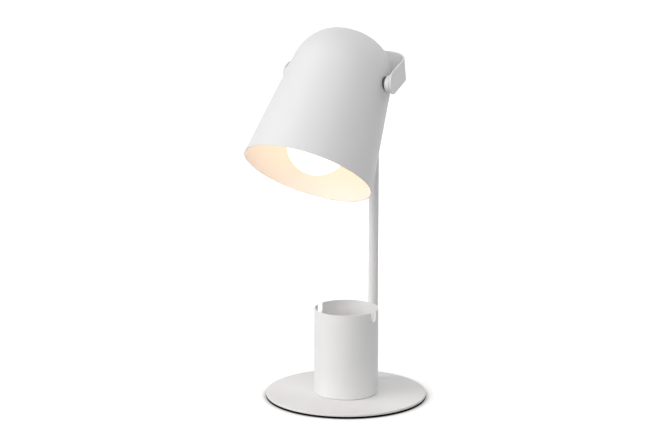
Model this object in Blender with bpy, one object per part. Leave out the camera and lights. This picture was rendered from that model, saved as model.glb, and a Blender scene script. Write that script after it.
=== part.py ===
"""Desk lamp with a pen cup: a tilting metal shade in a yoke, on a slim pole over a round base.

Lengths are metres and +Z is up. The lamp faces -Y, and the origin is the centre of its underside.
"""
import math

import bmesh
import bpy
from mathutils import Matrix, Vector

# Fits that every piece shares
SEAT_GAP = 0.0003
BORE_GAP = 0.0003
CUT_OVERRUN = 0.003
MERGE_DISTANCE = 0.000002
SHARP_ANGLE = math.radians(32)

# Base: a steel disc on a foam pad
BASE_RADIUS = 0.080
BASE_THICKNESS = 0.0020
BASE_ROUND = 0.0006
PAD_THICKNESS = 0.0020
PAD_INSET = 0.0005
PAD_ROUND = 0.0004

# Pen cup, drawn from sheet with two slots in its rim
CUP_RADIUS = 0.0320
CUP_HEIGHT = 0.0867
CUP_WALL = 0.0010
CUP_FLOOR = 0.0012
CUP_CORNER = 0.0020
CUP_SLOT_WIDTH = 0.0090
CUP_SLOT_DEPTH = 0.0102
CUP_SCREW_SPACING = 0.030

# Pole, a round tube with a plug at each end
POLE_RADIUS = 0.0050
POLE_WALL = 0.0010
POLE_PLUG_LENGTH = 0.014
POLE_BELOW_YOKE = 0.0012
HEAD_FLAT_DEPTH = 0.0005
HEAD_BELOW_YOKE = 0.0025
HEAD_ROUND = 0.0015
HEAD_SCREW_SPACING = 0.0100
HEAD_SCREW_DEPTH = 0.0050
INLET_HEIGHT = 0.024
OUTLET_DROP = 0.020

# Pivot that the shade tilts on
PIVOT_FORWARD = 0.0134
PIVOT_HEIGHT = 0.3252
SHADE_TILT = math.radians(34.8)

# Yoke, one folded strap whose arms draw together towards the pole
YOKE_CLEARANCE = 0.01003
ARM_STAND_OFF = 0.0058
YOKE_WIDTH = 0.0217
YOKE_THICKNESS = 0.0020
YOKE_BEND_RADIUS = 0.0313
YOKE_DRAW_IN = math.radians(14.3)
YOKE_PITCH = math.radians(9.3)
YOKE_END_REACH = 0.0080

# Shade, spun from sheet: a cone that runs into a round crown
SHADE_MOUTH_RADIUS = 0.0646
SHADE_CONE_LENGTH = 0.1091
SHADE_TAPER = math.radians(7.5)
SHADE_WALL = 0.0010
PIVOT_BELOW_CROWN = 0.0062

# Pivot stack, from the shade's wall outwards
WASHER_RADIUS = 0.0065
WASHER_STAND_OFF = 0.00325
BOSS_RADIUS = 0.00825
BOSS_ROUND = 0.0004

# Pivot stack, from the shade's wall inwards
INNER_WASHER_RADIUS = 0.0060
INNER_WASHER_DEPTH = 0.00425
SPRING_RADIUS = 0.0046
SPRING_THICKNESS = 0.0008

# Bridge that carries the lampholder
BRIDGE_WIDTH = 0.0140
BRIDGE_THICKNESS = 0.0012
BRIDGE_FLAT_HALF = 0.0160
BRIDGE_BEND_RADIUS = 0.0050
BRIDGE_SLOPE = math.radians(25)
BRIDGE_TAB_REACH = 0.0070

# Lampholder
HOLDER_RADIUS = 0.0195
HOLDER_BACK_OVER_PIVOT = 0.0251
HOLDER_LENGTH = 0.0435
HOLDER_SHOULDER_DROP = 0.0100
HOLDER_BACK_RADIUS = 0.0130
HOLDER_BORE = 0.0152
HOLDER_FLOOR_DROP = 0.0140
HOLDER_ROUND = 0.0010
LINER_WALL = 0.0005
LINER_DEPTH = 0.0240
CONTACT_RADIUS = 0.0030
NIPPLE_RADIUS = 0.0050
NIPPLE_BORE = 0.0035
NIPPLE_POCKET = 0.0080
NIPPLE_OVER_BACK = 0.0110
NUT_RADIUS = 0.0080
NUT_THICKNESS = 0.0040

# Lamp bulb
BULB_RADIUS = 0.0300
BULB_JOINT_OVER_CENTRE = 0.0175
BULB_SHELL = 0.0012
BULB_BODY_LENGTH = 0.0325
BULB_BELOW_HOLDER = 0.0015
BULB_BODY_WALL = 0.0015
BULB_NECK_RADIUS = 0.0140
BULB_BOARD_RADIUS = 0.0213
BULB_BOARD_THICKNESS = 0.0016
CAP_RADIUS = 0.0132
CAP_THREAD_DEPTH = 0.0008
CAP_LENGTH = 0.0200
CAP_THREADS = 5
INSULATOR_LENGTH = 0.0040
INSULATOR_TIP_RADIUS = 0.0060
TIP_RADIUS = 0.0045
TIP_HEIGHT = 0.0020

# Grommets where the lead passes a wall
POLE_HOLE_RADIUS = 0.0032
SHADE_HOLE_RADIUS = 0.0042
GROMMET_LIP = 0.0010
GROMMET_RISE = 0.0006
GROMMET_WALL = 0.0009

# Screws
M3_RADIUS = 0.0015
M3_HEAD_RADIUS = 0.0029
M3_HEAD_HEIGHT = 0.0016
M4_RADIUS = 0.0020
M4_HEAD_RADIUS = 0.0038
M4_HEAD_HEIGHT = 0.0026
M5_RADIUS = 0.0025
M5_HEAD_RADIUS = 0.0042
M5_HEAD_HEIGHT = 0.0017
SCREW_RIM = 0.0003
SCREW_ROUND = 0.0008
DRIVE_SHARE = 0.50
DRIVE_DEPTH_SHARE = 0.60

# Facets round each kind of turned piece
FINE_SIDES = 72
MEDIUM_SIDES = 40
SMALL_SIDES = 24
ROUND_STEPS = 3
CROWN_STEPS = 14

# Heights and places that follow from the sizes above
base_bottom = PAD_THICKNESS + SEAT_GAP
base_top = base_bottom + BASE_THICKNESS
cup_bottom = base_top + SEAT_GAP
cup_floor_top = cup_bottom + CUP_FLOOR
cup_top = base_top + CUP_HEIGHT
cone_end_radius = SHADE_MOUTH_RADIUS - SHADE_CONE_LENGTH * math.tan(SHADE_TAPER)
crown_radius = cone_end_radius / math.cos(SHADE_TAPER)
crown_centre = SHADE_CONE_LENGTH - crown_radius * math.sin(SHADE_TAPER)
pivot_rise = SHADE_CONE_LENGTH - PIVOT_BELOW_CROWN
pivot_wall_radius = SHADE_MOUTH_RADIUS - pivot_rise * math.tan(SHADE_TAPER)
washer_face = pivot_wall_radius + WASHER_STAND_OFF
inner_washer_face = pivot_wall_radius - INNER_WASHER_DEPTH
yoke_half_span = washer_face + ARM_STAND_OFF
yoke_depth = crown_radius + YOKE_CLEARANCE
pivot = Vector((0, -PIVOT_FORWARD, PIVOT_HEIGHT))
yoke_axis = Vector((0, math.cos(YOKE_PITCH), math.sin(YOKE_PITCH)))
yoke_rise = Vector((0, -math.sin(YOKE_PITCH), math.cos(YOKE_PITCH)))
yoke_back = pivot + yoke_axis * yoke_depth
yoke_low_edge = yoke_back - yoke_rise * YOKE_WIDTH / 2
yoke_high_edge = yoke_back + yoke_rise * YOKE_WIDTH / 2
pole_place = Vector((0, yoke_back.y + SEAT_GAP + POLE_RADIUS - HEAD_FLAT_DEPTH, 0))
pole_bottom = base_top + SEAT_GAP
pole_top = yoke_low_edge.z - POLE_BELOW_YOKE
head_top = yoke_high_edge.z - HEAD_BELOW_YOKE
holder_back = pivot_rise + HOLDER_BACK_OVER_PIVOT
holder_shoulder = holder_back - HOLDER_SHOULDER_DROP
holder_floor = holder_back - HOLDER_FLOOR_DROP
holder_mouth = holder_back - HOLDER_LENGTH
bridge_bottom = holder_back + SEAT_GAP
bridge_top = bridge_bottom + BRIDGE_THICKNESS
bridge_face = inner_washer_face - SEAT_GAP
bulb_body_top = holder_mouth - BULB_BELOW_HOLDER
bulb_joint = bulb_body_top - BULB_BODY_LENGTH
bulb_centre = bulb_joint - BULB_JOINT_OVER_CENTRE
joint_angle = math.asin(BULB_JOINT_OVER_CENTRE / BULB_RADIUS)


def clear_scene():
    for item in list(bpy.data.objects):
        bpy.data.objects.remove(item, do_unlink=True)


def make_material(name, colour, roughness, metallic):
    material = bpy.data.materials.new(name)
    material.use_nodes = True
    shader = material.node_tree.nodes["Principled BSDF"]
    shader.inputs["Base Color"].default_value = (*colour, 1)
    shader.inputs["Roughness"].default_value = roughness
    shader.inputs["Metallic"].default_value = metallic
    material.diffuse_color = (*colour, 1)
    return material


# Shapes

def round_corners(corners):
    """Return the outline of (radius, height, rounding) corners, each rounding made an arc."""
    outline = []
    for index, (radius, height, rounding) in enumerate(corners):
        here = Vector((radius, height))
        if rounding == 0:
            outline.append(here)
            continue
        before = Vector(corners[index - 1][:2]) - here
        after = Vector(corners[(index + 1) % len(corners)][:2]) - here
        before.normalize()
        after.normalize()
        half_angle = before.angle(after) / 2
        centre = here + (before + after).normalized() * rounding / math.sin(half_angle)
        setback = rounding / math.tan(half_angle)
        start = (here + before * setback - centre).normalized()
        end = (here + after * setback - centre).normalized()
        for step in range(ROUND_STEPS + 1):
            outline.append(centre + start.slerp(end, step / ROUND_STEPS) * rounding)
    return outline


def arc_points(centre_radius, centre_height, radius, start, end, steps):
    points = []
    for step in range(steps + 1):
        angle = start + (end - start) * step / steps
        points.append(Vector((centre_radius + radius * math.cos(angle), centre_height + radius * math.sin(angle))))
    return points


def turned(outline, sides):
    """Turn a closed outline of (radius, height) points about Z."""
    shape = bmesh.new()
    ring = [shape.verts.new((max(radius, 0), 0, height)) for radius, height in outline]
    edges = []
    for first, second in zip(ring, ring[1:] + ring[:1]):
        on_axis = max(first.co.x, second.co.x) < MERGE_DISTANCE
        if not on_axis:
            edges.append(shape.edges.new((first, second)))
    bmesh.ops.spin(
        shape, geom=ring + edges, cent=(0, 0, 0), axis=(0, 0, 1), dvec=(0, 0, 0),
        angle=math.tau, steps=sides, use_merge=True, use_normal_flip=False, use_duplicate=False)
    bmesh.ops.remove_doubles(shape, verts=shape.verts, dist=MERGE_DISTANCE)
    bmesh.ops.recalc_face_normals(shape, faces=shape.faces)
    return shape


def rod(radius, low, high, sides):
    return turned([(0, low), (radius, low), (radius, high), (0, high)], sides)


def tube(outer, inner, low, high, sides):
    return turned([(inner, low), (outer, low), (outer, high), (inner, high)], sides)


def prism(radius, low, high, sides):
    """Return an upright prism, its corners at this radius."""
    shape = bmesh.new()
    bmesh.ops.create_cone(
        shape, cap_ends=True, cap_tris=False, segments=sides, radius1=radius, radius2=radius, depth=high - low)
    bmesh.ops.translate(shape, verts=shape.verts, vec=(0, 0, (low + high) / 2))
    return shape


def walk(stretches, distance):
    """Return the place and heading after this distance along (length, turn) stretches."""
    place = Vector((0, 0))
    heading = 0
    for length, turn in stretches:
        step = min(distance, length)
        if turn == 0:
            place += Vector((math.cos(heading), math.sin(heading))) * step
        else:
            radius = length / turn
            after = heading + step / radius
            place += Vector((math.sin(after) - math.sin(heading), math.cos(heading) - math.cos(after))) * radius
            heading = after
        distance -= step
        if distance <= 0:
            break
    return place, heading


def folded_strap(stretches, width, thickness, bend_steps):
    """Fold a flat strap with round ends along stretches that start at its middle, alike on both sides.

    The strap's outer face starts at height 0, runs along +X and folds down; its width lies along Y.
    """
    half_width = width / 2
    stations = [0]
    travelled = 0
    for length, turn in stretches:
        steps = bend_steps if turn else 1
        stations += [travelled + length * step / steps for step in range(1, steps + 1)]
        travelled += length
    end_centre = stations.pop() - half_width
    rows = [(station, half_width) for station in stations]
    end_steps = 3 * ROUND_STEPS
    for step in range(end_steps + 1):
        angle = math.pi / 2 * step / end_steps
        rows.append((end_centre + half_width * math.sin(angle), half_width * math.cos(angle)))
    rows = [(-station, half) for station, half in reversed(rows[1:])] + rows

    shape = bmesh.new()
    columns = [
        [shape.verts.new((station, side * half, 0)) for side in (-1, 1)]
        for station, half in rows]
    for first, second in zip(columns, columns[1:]):
        shape.faces.new((first[0], second[0], second[1], first[1]))
    bmesh.ops.remove_doubles(shape, verts=shape.verts, dist=MERGE_DISTANCE)
    lower = bmesh.ops.extrude_face_region(shape, geom=shape.faces[:], use_keep_orig=True)
    for vert in lower["geom"]:
        if isinstance(vert, bmesh.types.BMVert):
            vert.co.z = -thickness
    for vert in shape.verts:
        side = -1 if vert.co.x < 0 else 1
        place, heading = walk(stretches, abs(vert.co.x))
        inward = Vector((math.sin(heading), -math.cos(heading)))
        place += inward * -vert.co.z
        vert.co = Vector((side * place.x, vert.co.y, place.y))
    bmesh.ops.recalc_face_normals(shape, faces=shape.faces)
    return shape


# Objects

def make_empty(name, place, turn):
    empty = bpy.data.objects.new(name, None)
    bpy.context.collection.objects.link(empty)
    empty.location = place
    empty.rotation_euler = turn
    return empty


def make_piece(name, shape, material, parent=None, place=(0, 0, 0), turn=(0, 0, 0)):
    mesh = bpy.data.meshes.new(name)
    shape.to_mesh(mesh)
    shape.free()
    mesh.shade_smooth()
    mesh.set_sharp_from_angle(angle=SHARP_ANGLE)
    if material:
        mesh.materials.append(material)
    piece = bpy.data.objects.new(name, mesh)
    bpy.context.collection.objects.link(piece)
    piece.parent = parent
    piece.location = place
    piece.rotation_euler = turn
    return piece


def add_boolean(piece, cutter, operation):
    modifier = piece.modifiers.new(cutter.name, "BOOLEAN")
    modifier.operation = operation
    modifier.object = cutter


def make_cutter(name, shape, parent=None, place=(0, 0, 0), turn=(0, 0, 0)):
    cutter = make_piece(name, shape, None, parent, place, turn)
    cutter.hide_render = True
    cutter.display_type = "WIRE"
    return cutter


def cut(piece, name, shape, parent=None, place=(0, 0, 0), turn=(0, 0, 0)):
    cutter = make_cutter(name, shape, parent, place, turn)
    add_boolean(piece, cutter, "DIFFERENCE")


def cut_drive(screw, radius, head_top_height, head_height, parent, place, turn):
    """Cut a six-sided drive into a screw's head."""
    shape = prism(
        radius * DRIVE_SHARE, head_top_height - head_height * DRIVE_DEPTH_SHARE,
        head_top_height + CUT_OVERRUN, 6)
    cut(screw, screw.name + "_drive", shape, parent, place, turn)


def make_pan_screw(name, material, radius, head_radius, head_height, length, parent, place, turn):
    """Make a screw whose head sits on height 0 and whose shank runs down from it."""
    outline = round_corners([
        (0, -length, 0), (radius, -length, 0), (radius, 0, 0), (head_radius, 0, 0),
        (head_radius, head_height, SCREW_ROUND), (0, head_height, 0)])
    screw = make_piece(name, turned(outline, SMALL_SIDES), material, parent, place, turn)
    cut_drive(screw, head_radius, head_height, head_height, parent, place, turn)


def make_flat_screw(name, material, radius, head_radius, head_height, length, parent, place, turn):
    """Make a screw whose sunk head has its face at height 0."""
    outline = [
        (0, -length), (radius, -length), (radius, -head_height), (head_radius, -SCREW_RIM),
        (head_radius, 0), (0, 0)]
    screw = make_piece(name, turned(outline, SMALL_SIDES), material, parent, place, turn)
    cut_drive(screw, radius, 0, head_height, parent, place, turn)


def sunk_hole(radius, head_radius, head_height, depth):
    """Return the cutter for a flat screw: its head's cone and a plain hole below."""
    wide = head_radius + BORE_GAP
    narrow = radius + BORE_GAP
    return turned([
        (0, -depth), (narrow, -depth), (narrow, -head_height), (wide, -SCREW_RIM),
        (wide, CUT_OVERRUN), (0, CUT_OVERRUN)], SMALL_SIDES)


# Base and cup

def build_base(coat, foam, zinc):
    pad_radius = BASE_RADIUS - PAD_INSET
    pad = round_corners([
        (0, 0, 0), (pad_radius, 0, PAD_ROUND), (pad_radius, PAD_THICKNESS, PAD_ROUND), (0, PAD_THICKNESS, 0)])
    make_piece("base_pad", turned(pad, FINE_SIDES), foam)

    disc = round_corners([
        (0, base_bottom, 0), (BASE_RADIUS, base_bottom, 0), (BASE_RADIUS, base_top, BASE_ROUND), (0, base_top, 0)])
    plate = make_piece("base_plate", turned(disc, FINE_SIDES), coat)
    for side, name in ((-1, "left"), (1, "right")):
        hole = rod(M4_RADIUS + BORE_GAP, base_bottom - CUT_OVERRUN, base_top + CUT_OVERRUN, SMALL_SIDES)
        place = (side * CUP_SCREW_SPACING / 2, 0, 0)
        cut(plate, "base_hole_" + name, hole, place=place)

    foot = (0, pole_place.y, base_bottom)
    upside_down = (math.pi, 0, 0)
    depth = BASE_THICKNESS + CUT_OVERRUN
    cut(plate, "base_pole_hole", sunk_hole(M5_RADIUS, M5_HEAD_RADIUS, M5_HEAD_HEIGHT, depth),
        place=foot, turn=upside_down)
    make_flat_screw(
        "base_screw", zinc, M5_RADIUS, M5_HEAD_RADIUS, M5_HEAD_HEIGHT,
        BASE_THICKNESS + POLE_PLUG_LENGTH, None, foot, upside_down)


def slot_cutter():
    """Return one bar along X, round below, that cuts both rim slots."""
    half_width = CUP_SLOT_WIDTH / 2
    bottom = cup_top - CUP_SLOT_DEPTH
    reach = CUP_RADIUS + CUT_OVERRUN
    outline = [(half_width, cup_top + CUT_OVERRUN), (-half_width, cup_top + CUT_OVERRUN)]
    outline += arc_points(0, bottom + half_width, half_width, math.pi, math.tau, 4 * ROUND_STEPS)
    shape = bmesh.new()
    face = shape.faces.new([shape.verts.new((-reach, across, height)) for across, height in outline])
    body = bmesh.ops.extrude_face_region(shape, geom=[face], use_keep_orig=True)
    moved = [item for item in body["geom"] if isinstance(item, bmesh.types.BMVert)]
    bmesh.ops.translate(shape, verts=moved, vec=(2 * reach, 0, 0))
    bmesh.ops.recalc_face_normals(shape, faces=shape.faces)
    return shape


def build_cup(coat, zinc):
    inner_radius = CUP_RADIUS - CUP_WALL
    outline = round_corners([
        (0, cup_bottom, 0), (CUP_RADIUS, cup_bottom, CUP_CORNER), (CUP_RADIUS, cup_top, 0),
        (inner_radius, cup_top, 0), (inner_radius, cup_floor_top, CUP_CORNER - CUP_WALL),
        (0, cup_floor_top, 0)])
    cup = make_piece("pen_cup", turned(outline, FINE_SIDES), coat)
    cut(cup, "cup_slots", slot_cutter())
    length = cup_floor_top - base_bottom
    for side, name in ((-1, "left"), (1, "right")):
        place = (side * CUP_SCREW_SPACING / 2, 0, cup_floor_top + SEAT_GAP)
        hole = rod(M4_RADIUS + BORE_GAP, -CUP_FLOOR - CUT_OVERRUN, CUT_OVERRUN, SMALL_SIDES)
        cut(cup, "cup_hole_" + name, hole, place=place)
        make_pan_screw(
            "cup_screw_" + name, zinc, M4_RADIUS, M4_HEAD_RADIUS, M4_HEAD_HEIGHT, length, None, place, (0, 0, 0))


# Pole

def skin_cutter(name, outer, inner, low, high, hole_radius, parent, place, turn, hole_place, hole_turn):
    """Return a wall with a hole in it, which cuts the groove of a grommet."""
    skin = make_cutter(name, tube(outer, inner, low, high, MEDIUM_SIDES), parent, place, turn)
    core = rod(hole_radius, 0, outer + CUT_OVERRUN, SMALL_SIDES)
    cut(skin, name + "_core", core, parent, hole_place, hole_turn)
    return skin


def spool(hole_radius, wall_inside, wall_outside):
    """Return a grommet's spool along Z, before its groove is cut."""
    lip_radius = hole_radius + GROMMET_LIP
    bore = hole_radius - BORE_GAP - GROMMET_WALL
    low = wall_inside - GROMMET_RISE
    high = wall_outside + GROMMET_RISE
    rounding = GROMMET_RISE / 3
    return turned(round_corners([
        (bore, low, 0), (lip_radius, low, rounding), (lip_radius, high, rounding), (bore, high, 0)]), SMALL_SIDES)


def build_pole_grommet(name, pole, nylon, height, turn):
    """Cut a hole through one side of the pole and fit its grommet."""
    place = (pole_place.x, pole_place.y, height)
    hole = rod(POLE_HOLE_RADIUS, 0, POLE_RADIUS + CUT_OVERRUN, SMALL_SIDES)
    cut(pole, name + "_hole", hole, place=place, turn=turn)
    half_height = POLE_HOLE_RADIUS + CUT_OVERRUN
    skin = skin_cutter(
        name + "_skin", POLE_RADIUS + SEAT_GAP, POLE_RADIUS - POLE_WALL - SEAT_GAP,
        -half_height, half_height, POLE_HOLE_RADIUS - BORE_GAP, None, place, (0, 0, 0), place, turn)
    shape = spool(POLE_HOLE_RADIUS, POLE_RADIUS - POLE_WALL, POLE_RADIUS)
    grommet = make_piece(name, shape, nylon, None, place, turn)
    add_boolean(grommet, skin, "DIFFERENCE")


def build_pole(coat, zinc, nylon):
    bore = POLE_RADIUS - POLE_WALL
    pole = make_piece(
        "pole", tube(POLE_RADIUS, bore, pole_bottom, pole_top, MEDIUM_SIDES), coat, place=pole_place)
    foot_plug = tube(
        bore - BORE_GAP, M5_RADIUS + BORE_GAP, pole_bottom, pole_bottom + POLE_PLUG_LENGTH, SMALL_SIDES)
    make_piece("pole_foot_plug", foot_plug, zinc, place=pole_place)
    towards_back = (-math.pi / 2, 0, 0)
    towards_front = (math.pi / 2, 0, 0)
    build_pole_grommet("inlet_grommet", pole, nylon, INLET_HEIGHT, towards_back)
    build_pole_grommet("outlet_grommet", pole, nylon, pole_top - OUTLET_DROP, towards_front)


def build_pole_head(coat, zinc, yoke_frame):
    """Make the pole's solid head, with a sloping flat for the yoke, and the two screws through it."""
    bore = POLE_RADIUS - POLE_WALL
    low = pole_top - POLE_PLUG_LENGTH
    collar = pole_top + SEAT_GAP
    head = make_piece("pole_head", turned(round_corners([
        (0, low, 0), (bore - BORE_GAP, low, 0), (bore - BORE_GAP, collar, 0), (POLE_RADIUS, collar, 0),
        (POLE_RADIUS, head_top, HEAD_ROUND), (0, head_top, 0)]), MEDIUM_SIDES), coat, place=pole_place)

    block = bmesh.new()
    bmesh.ops.create_cube(block, size=1)
    height = YOKE_WIDTH + 2 * SEAT_GAP
    depth = POLE_RADIUS * 2
    bmesh.ops.scale(block, verts=block.verts, vec=(POLE_RADIUS * 4, depth, height))
    cut(head, "head_flat", block, yoke_frame, (0, yoke_depth + SEAT_GAP - depth / 2, 0))
    for side, name in ((-1, "lower"), (1, "upper")):
        place = (0, yoke_depth, side * HEAD_SCREW_SPACING / 2)
        hole = rod(M3_RADIUS + BORE_GAP, -CUT_OVERRUN, HEAD_SCREW_DEPTH + 2 * SEAT_GAP, SMALL_SIDES)
        cut(head, "head_hole_" + name, hole, yoke_frame, place, (-math.pi / 2, 0, 0))


# Yoke

def yoke_stretches():
    """Return the strap's (length, turn) stretches from the middle of its back to the end of an arm."""
    bend = math.pi / 2 - YOKE_DRAW_IN
    bend_length = YOKE_BEND_RADIUS * bend
    bend_depth = YOKE_BEND_RADIUS * (1 - math.cos(bend))
    arm_length = (yoke_depth - bend_depth) / math.cos(YOKE_DRAW_IN)
    bend_span = YOKE_BEND_RADIUS * math.sin(bend)
    flat_half = yoke_half_span - arm_length * math.sin(YOKE_DRAW_IN) - bend_span
    return [(flat_half, 0), (bend_length, -bend), (arm_length + YOKE_END_REACH, 0)]


def build_yoke(coat, zinc, yoke_frame):
    strap = folded_strap(yoke_stretches(), YOKE_WIDTH, YOKE_THICKNESS, 8)
    bmesh.ops.rotate(strap, verts=strap.verts, cent=(0, 0, 0), matrix=swap_y_and_z())
    bmesh.ops.translate(strap, verts=strap.verts, vec=(0, yoke_depth, 0))
    yoke = make_piece("yoke", strap, coat, yoke_frame)
    towards_front = (math.pi / 2, 0, 0)
    for side, name in ((-1, "lower"), (1, "upper")):
        place = (0, yoke_depth - YOKE_THICKNESS, side * HEAD_SCREW_SPACING / 2)
        depth = YOKE_THICKNESS + CUT_OVERRUN
        cut(yoke, "yoke_hole_" + name, sunk_hole(M3_RADIUS, M3_HEAD_RADIUS, M3_HEAD_HEIGHT, depth),
            yoke_frame, place, towards_front)
        make_flat_screw(
            "yoke_screw_" + name, zinc, M3_RADIUS, M3_HEAD_RADIUS, M3_HEAD_HEIGHT,
            YOKE_THICKNESS + HEAD_SCREW_DEPTH, yoke_frame, place, towards_front)


def swap_y_and_z():
    """Return the quarter turn about X that takes +Z to +Y."""
    return Matrix.Rotation(-math.pi / 2, 3, "X")


def arm_inner_face(offset):
    """Return how far out the arm's inner face lies on the pivot axis, moved in by an offset."""
    return yoke_half_span - (YOKE_THICKNESS + offset) / math.cos(YOKE_DRAW_IN)


def outward_turn(side):
    """Return the turn that lays a piece's own Z along the pivot axis, outwards on this side."""
    return (0, side * math.pi / 2, 0)


def build_pivot_hardware(coat, zinc, yoke_frame):
    """Make the bosses on the yoke's arms, and the screws and spring washers inside the shade."""
    low = washer_face + SEAT_GAP
    high = arm_inner_face(0) + BOSS_RADIUS * math.tan(YOKE_DRAW_IN)
    spring_face = bridge_face - BRIDGE_THICKNESS - SEAT_GAP
    screw_seat = spring_face - SPRING_THICKNESS - SEAT_GAP
    screw_end = arm_inner_face(SEAT_GAP) - M4_RADIUS * math.tan(YOKE_DRAW_IN) - SEAT_GAP
    for side, name in ((-1, "left"), (1, "right")):
        turn = outward_turn(side)
        outline = round_corners([
            (M4_RADIUS + BORE_GAP, low, 0), (BOSS_RADIUS, low, BOSS_ROUND), (BOSS_RADIUS, high, 0),
            (M4_RADIUS + BORE_GAP, high, 0)])
        boss = make_piece("pivot_boss_" + name, turned(outline, MEDIUM_SIDES), coat, yoke_frame, turn=turn)
        cut_to_arm(boss, side, name, yoke_frame)

        spring = tube(SPRING_RADIUS, M4_RADIUS + BORE_GAP, spring_face - SPRING_THICKNESS, spring_face, SMALL_SIDES)
        make_piece("spring_washer_" + name, spring, zinc, yoke_frame, turn=turn)
        inward = (0, -side * math.pi / 2, 0)
        make_pan_screw(
            "pivot_screw_" + name, zinc, M4_RADIUS, M4_HEAD_RADIUS, M4_HEAD_HEIGHT,
            screw_end - screw_seat, yoke_frame, (side * screw_seat, 0, 0), inward)


def cut_to_arm(boss, side, name, yoke_frame):
    """Cut a boss's outer end to the slope of the arm that it stands on."""
    block = bmesh.new()
    bmesh.ops.create_cube(block, size=1)
    size = 4 * BOSS_RADIUS
    bmesh.ops.scale(block, verts=block.verts, vec=(size, size, size))
    bmesh.ops.translate(block, verts=block.verts, vec=(side * size / 2, 0, 0))
    place = (side * arm_inner_face(SEAT_GAP), 0, 0)
    cut(boss, "boss_slope_" + name, block, yoke_frame, place, (0, 0, side * YOKE_DRAW_IN))


# Shade

def shade_curve(offset):
    """Return the shade's outer curve, mouth to crown, moved out square to itself by an offset."""
    crown = arc_points(0, crown_centre, crown_radius + offset, SHADE_TAPER, math.pi / 2, CROWN_STEPS)
    mouth = Vector((SHADE_MOUTH_RADIUS + offset / math.cos(SHADE_TAPER), 0))
    return [mouth] + crown[:-1] + [Vector((0, crown_centre + crown_radius + offset))]


def build_shade(coat, nylon, tilt_frame):
    mouth = (0, 0, -pivot_rise)
    outline = shade_curve(0) + list(reversed(shade_curve(-SHADE_WALL)))
    shade = make_piece("shade", turned(outline, FINE_SIDES), coat, tilt_frame, mouth)
    reach = SHADE_MOUTH_RADIUS
    cut(shade, "shade_pivot_holes", rod(M4_RADIUS + BORE_GAP, -reach, reach, SMALL_SIDES), tilt_frame,
        turn=outward_turn(1))
    towards_back = (-math.pi / 2, 0, 0)
    cut(shade, "shade_lead_hole", rod(SHADE_HOLE_RADIUS, 0, reach, SMALL_SIDES), tilt_frame,
        turn=towards_back)

    skin_outline = shade_curve(SEAT_GAP) + list(reversed(shade_curve(-SHADE_WALL - SEAT_GAP)))
    skin = make_cutter("shade_grommet_skin", turned(skin_outline, FINE_SIDES), tilt_frame, mouth)
    core = rod(SHADE_HOLE_RADIUS - BORE_GAP, 0, reach, SMALL_SIDES)
    cut(skin, "shade_grommet_core", core, tilt_frame, turn=towards_back)
    slack = (SHADE_HOLE_RADIUS + GROMMET_LIP) * math.tan(SHADE_TAPER)
    shape = spool(SHADE_HOLE_RADIUS, pivot_wall_radius - SHADE_WALL - slack, pivot_wall_radius + slack)
    grommet = make_piece("shade_grommet", shape, nylon, tilt_frame, turn=towards_back)
    add_boolean(grommet, skin, "DIFFERENCE")


def build_washers(rubber, nylon, tilt_frame):
    """Make the saddle washers that bed the yoke's bosses and the bridge on the shade's round wall."""
    mouth = (0, 0, -pivot_rise)
    outside = turned(shade_curve(SEAT_GAP) + [Vector((0, 0))], FINE_SIDES)
    outer = make_cutter("washer_outer_skin", outside, tilt_frame, mouth)
    inside = turned(shade_curve(-SHADE_WALL - SEAT_GAP) + [Vector((0, 0))], FINE_SIDES)
    inner = make_cutter("washer_inner_skin", inside, tilt_frame, mouth)
    bore = M4_RADIUS + BORE_GAP
    for side, name in ((-1, "left"), (1, "right")):
        turn = outward_turn(side)
        low = washer_face - WASHER_RADIUS
        washer = make_piece(
            "friction_washer_" + name, tube(WASHER_RADIUS, bore, low, washer_face, MEDIUM_SIDES), rubber,
            tilt_frame, turn=turn)
        add_boolean(washer, outer, "DIFFERENCE")
        high = inner_washer_face + INNER_WASHER_RADIUS
        bush = make_piece(
            "inner_washer_" + name, tube(INNER_WASHER_RADIUS, bore, inner_washer_face, high, SMALL_SIDES),
            nylon, tilt_frame, turn=turn)
        add_boolean(bush, inner, "INTERSECT")


# Bridge and lampholder

def bridge_stretches():
    """Return the bridge's stretches from its middle, down the slope and on to the end of a tab."""
    first = BRIDGE_SLOPE
    second = math.pi / 2 - BRIDGE_SLOPE
    radius = BRIDGE_BEND_RADIUS
    bend_span = radius * math.sin(first) + radius * (1 - math.sin(first))
    slope_length = (bridge_face - BRIDGE_FLAT_HALF - bend_span) / math.cos(first)
    drop = radius * (1 - math.cos(first)) + slope_length * math.sin(first) + radius * math.cos(first)
    tab_length = bridge_top - drop - pivot_rise + BRIDGE_TAB_REACH
    return [
        (BRIDGE_FLAT_HALF, 0), (radius * first, -first), (slope_length, 0),
        (radius * second, -second), (tab_length, 0)]


def build_bridge(zinc, tilt_frame):
    mouth = (0, 0, -pivot_rise)
    strap = folded_strap(bridge_stretches(), BRIDGE_WIDTH, BRIDGE_THICKNESS, 3)
    bmesh.ops.translate(strap, verts=strap.verts, vec=(0, 0, bridge_top))
    bridge = make_piece("holder_bridge", strap, zinc, tilt_frame, mouth)
    hole = rod(NIPPLE_RADIUS + BORE_GAP, bridge_bottom - CUT_OVERRUN, bridge_top + CUT_OVERRUN, SMALL_SIDES)
    cut(bridge, "bridge_nipple_hole", hole, tilt_frame, mouth)
    reach = SHADE_MOUTH_RADIUS
    cut(bridge, "bridge_pivot_holes", rod(M4_RADIUS + BORE_GAP, -reach, reach, SMALL_SIDES), tilt_frame,
        turn=outward_turn(1))


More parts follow.
